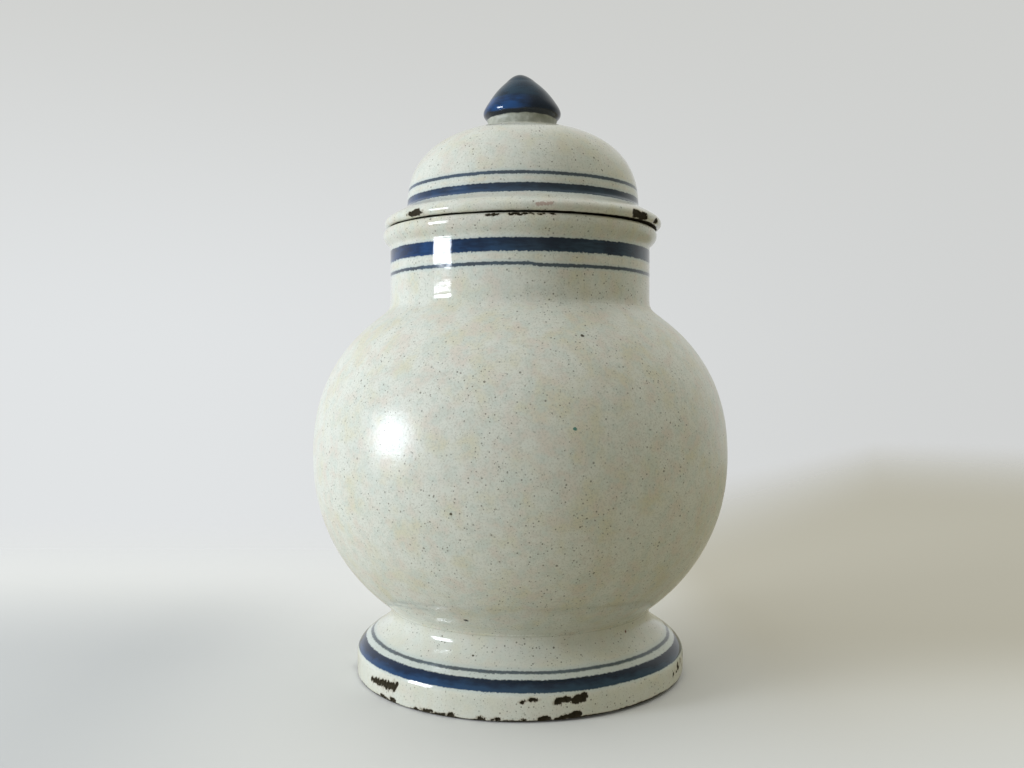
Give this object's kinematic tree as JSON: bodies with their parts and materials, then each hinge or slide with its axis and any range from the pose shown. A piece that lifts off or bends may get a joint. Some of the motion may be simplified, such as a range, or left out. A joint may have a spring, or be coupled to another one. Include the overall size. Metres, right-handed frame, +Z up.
{
  "type": "storage jar",
  "caption": "Round-bellied glazed pottery storage jar on a flared hollow foot, with a straight neck, rolled rim, painted bands and a loose domed lid with a pointed knob.",
  "frame": {"origin": "centre of the ring that the foot stands on, at table height", "axes": "+Z up along the turning axis of the jar, -Y towards the viewer of the picture"},
  "size_m": [0.1732, 0.1732, 0.25],
  "materials": {
    "white_glaze": "glossy off-white tin glaze with iron specks and blue brushed bands",
    "blue_glaze": "glossy deep blue brushed glaze",
    "bare_clay": "bare dark brown fired clay, matt"
  },
  "bodies": {
    "jar": {"foot": "white_glaze", "body": "white_glaze", "neck": "white_glaze"},
    "lid": {"lid": "white_glaze", "lid_collar": "bare_clay", "knob": "blue_glaze"}
  },
  "joints": [
    {"name": "lid_lift", "type": "slide", "parent": "jar", "child": "lid", "axis": [0, 0, 1], "range_m": [0, 0.15]}
  ]
}
